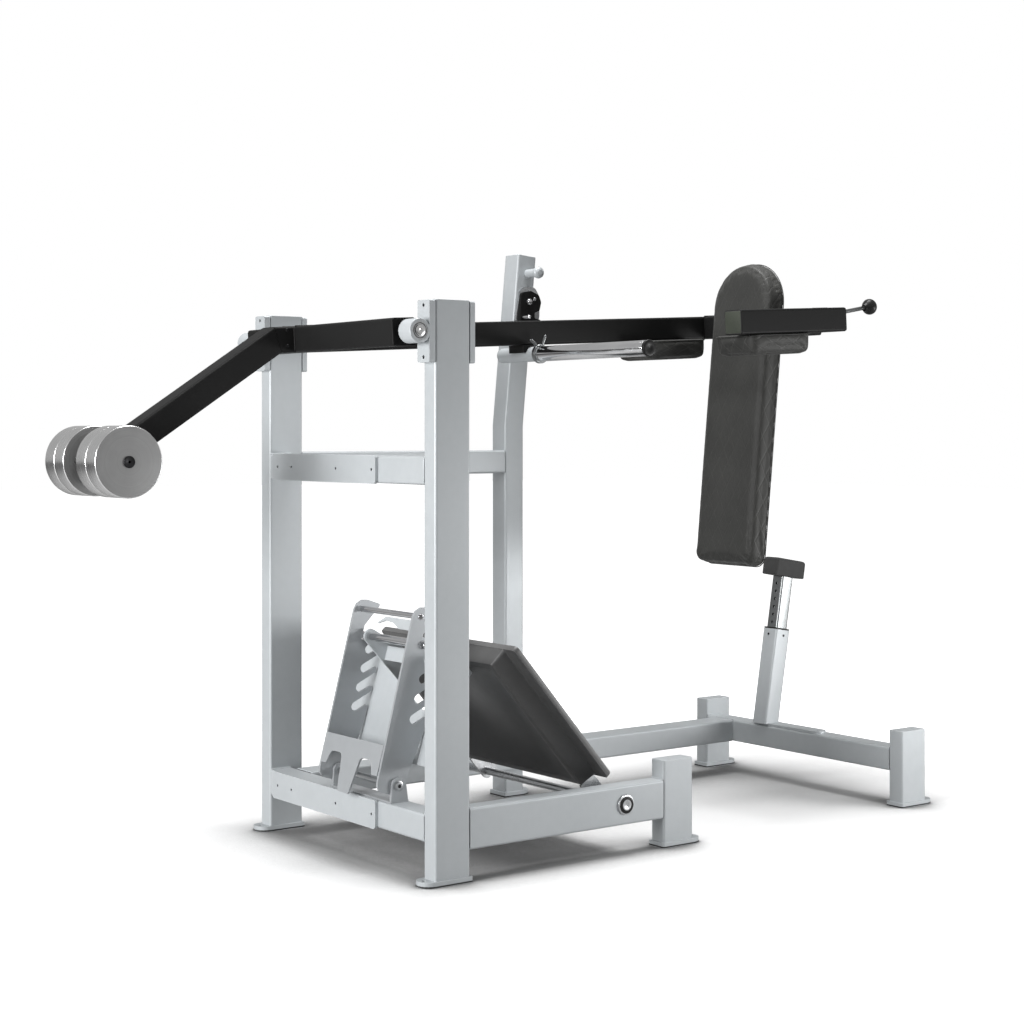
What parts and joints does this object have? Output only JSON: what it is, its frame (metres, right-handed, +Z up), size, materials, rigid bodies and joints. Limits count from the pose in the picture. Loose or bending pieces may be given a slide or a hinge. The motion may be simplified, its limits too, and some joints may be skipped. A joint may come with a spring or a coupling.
{
  "type": "pendulum squat machine",
  "caption": "Free-standing pendulum squat machine: counterweighted swinging arm with shoulder pads and back pad, tilting footplate on a notched ladder, plate horn and height-set stop.",
  "frame": {"origin": "centre of the footprint's box, on the floor", "axes": "+X from the counterweights forward to the stop post, +Y to the far side, which has the tall catch post, +Z up"},
  "size_m": [2.9806, 1.0478, 1.9017],
  "materials": {
    "silver_paint": "silver-grey powder coat on steel",
    "black_paint": "satin black powder coat on steel",
    "grey_paint": "dark grey powder coat on steel plate",
    "machined_steel": "turned solid steel",
    "chrome": "polished chrome plate",
    "zinc": "zinc-plated steel",
    "black_plastic": "moulded black plastic",
    "rubber": "black rubber",
    "upholstery": "embossed charcoal upholstery over foam"
  },
  "bodies": {
    "frame": {"near_upright": "silver_paint", "far_upright": "silver_paint", "near_mid_post": "silver_paint", "near_front_post": "silver_paint", "far_front_post": "silver_paint", "rear_lower_crossmember": "silver_paint", "rear_upper_crossmember": "silver_paint", "near_rail": "silver_paint", "far_rail": "silver_paint", "front_crossbeam": "silver_paint", "upper_brace": "silver_paint", "rear_lower_joint_plate": "silver_paint", "rear_upper_joint_plate": "silver_paint", "catch_post": "silver_paint", "catch_plate": "zinc", "near_bearing_housing": "silver_paint", "far_bearing_housing": "silver_paint", "near_clamp_plate": "silver_paint", "far_clamp_plate": "silver_paint", "near_bearing": "black_plastic", "far_bearing": "black_plastic", "hinge_bushing": "zinc", "ladder_bracket": "silver_paint", "ladder_pivot_bolt": "zinc", "stop_outer_tube": "silver_paint", "stop_guide_sleeve": "black_plastic"},
    "arm": {"main_beam": "black_paint", "counterweight_lever": "black_paint", "near_axle_tube": "black_paint", "far_axle_tube": "black_paint", "near_beam": "black_paint", "yoke_tube": "black_paint", "near_inner_counterweight": "machined_steel", "near_outer_counterweight": "machined_steel", "far_inner_counterweight": "machined_steel", "far_outer_counterweight": "machined_steel", "counterweight_bolt": "black_paint", "near_shoulder_pad": "upholstery", "far_shoulder_pad": "upholstery", "back_pad": "upholstery", "back_pad_mount": "black_paint", "plate_horn": "chrome", "horn_saddle": "black_paint", "arm_catch_pin": "zinc"},
    "footplate": {"footplate_tray": "black_paint", "footplate_shaft": "zinc", "footplate_bracket": "silver_paint", "support_bar": "chrome"},
    "ladder": {"near_ladder_plate": "grey_paint", "far_ladder_plate": "grey_paint", "ladder_cross_plate": "grey_paint", "ladder_top_plate": "silver_paint", "ladder_tie_rod": "chrome"},
    "stop_head": {"stop_inner_tube": "zinc", "bumper_block": "rubber"},
    "stop_plunger": {"stop_plunger": "black_plastic"},
    "latch": {"latch_hook": "black_paint", "latch_grip": "chrome"},
    "release_handle": {"release_handle": "black_plastic"},
    "spring_clip": {"spring_clip": "zinc"}
  },
  "joints": [
    {"name": "arm_swing", "type": "hinge", "parent": "frame", "child": "arm", "pos_m": [-0.74147, -0.0006, 1.56], "axis": [0, 1, 0], "range_deg": [0, 21.2]},
    {"name": "footplate_lift", "type": "hinge", "parent": "frame", "child": "footplate", "pos_m": [0.00353, -0.0006, 0.152], "axis": [0, 1, 0], "range_deg": [0, 20]},
    {"name": "ladder_swing", "type": "hinge", "parent": "frame", "child": "ladder", "pos_m": [-0.65647, -0.0006, 0.246], "axis": [0, 1, 0], "range_deg": [-25, 0]},
    {"name": "stop_height", "type": "slide", "parent": "frame", "child": "stop_head", "axis": [0.165, 0, 0.9863], "range_m": [-0.145, 0]},
    {"name": "stop_pin", "type": "slide", "parent": "frame", "child": "stop_plunger", "axis": [-0.9863, 0, 0.165], "range_m": [0, 0.009]},
    {"name": "latch_swing", "type": "hinge", "parent": "frame", "child": "latch", "pos_m": [0.33353, 0.4293, 1.735], "axis": [0, 1, 0], "range_deg": [-16, 0]},
    {"name": "release_pull", "type": "slide", "parent": "arm", "child": "release_handle", "axis": [0.9848, 0, 0.1736], "range_m": [0, 0.02], "stiffness_N_per_m": 400, "springref_m": -0.01},
    {"name": "clip_slide", "type": "slide", "parent": "arm", "child": "spring_clip", "axis": [0, -1, 0], "range_m": [0, 0.4]}
  ]
}
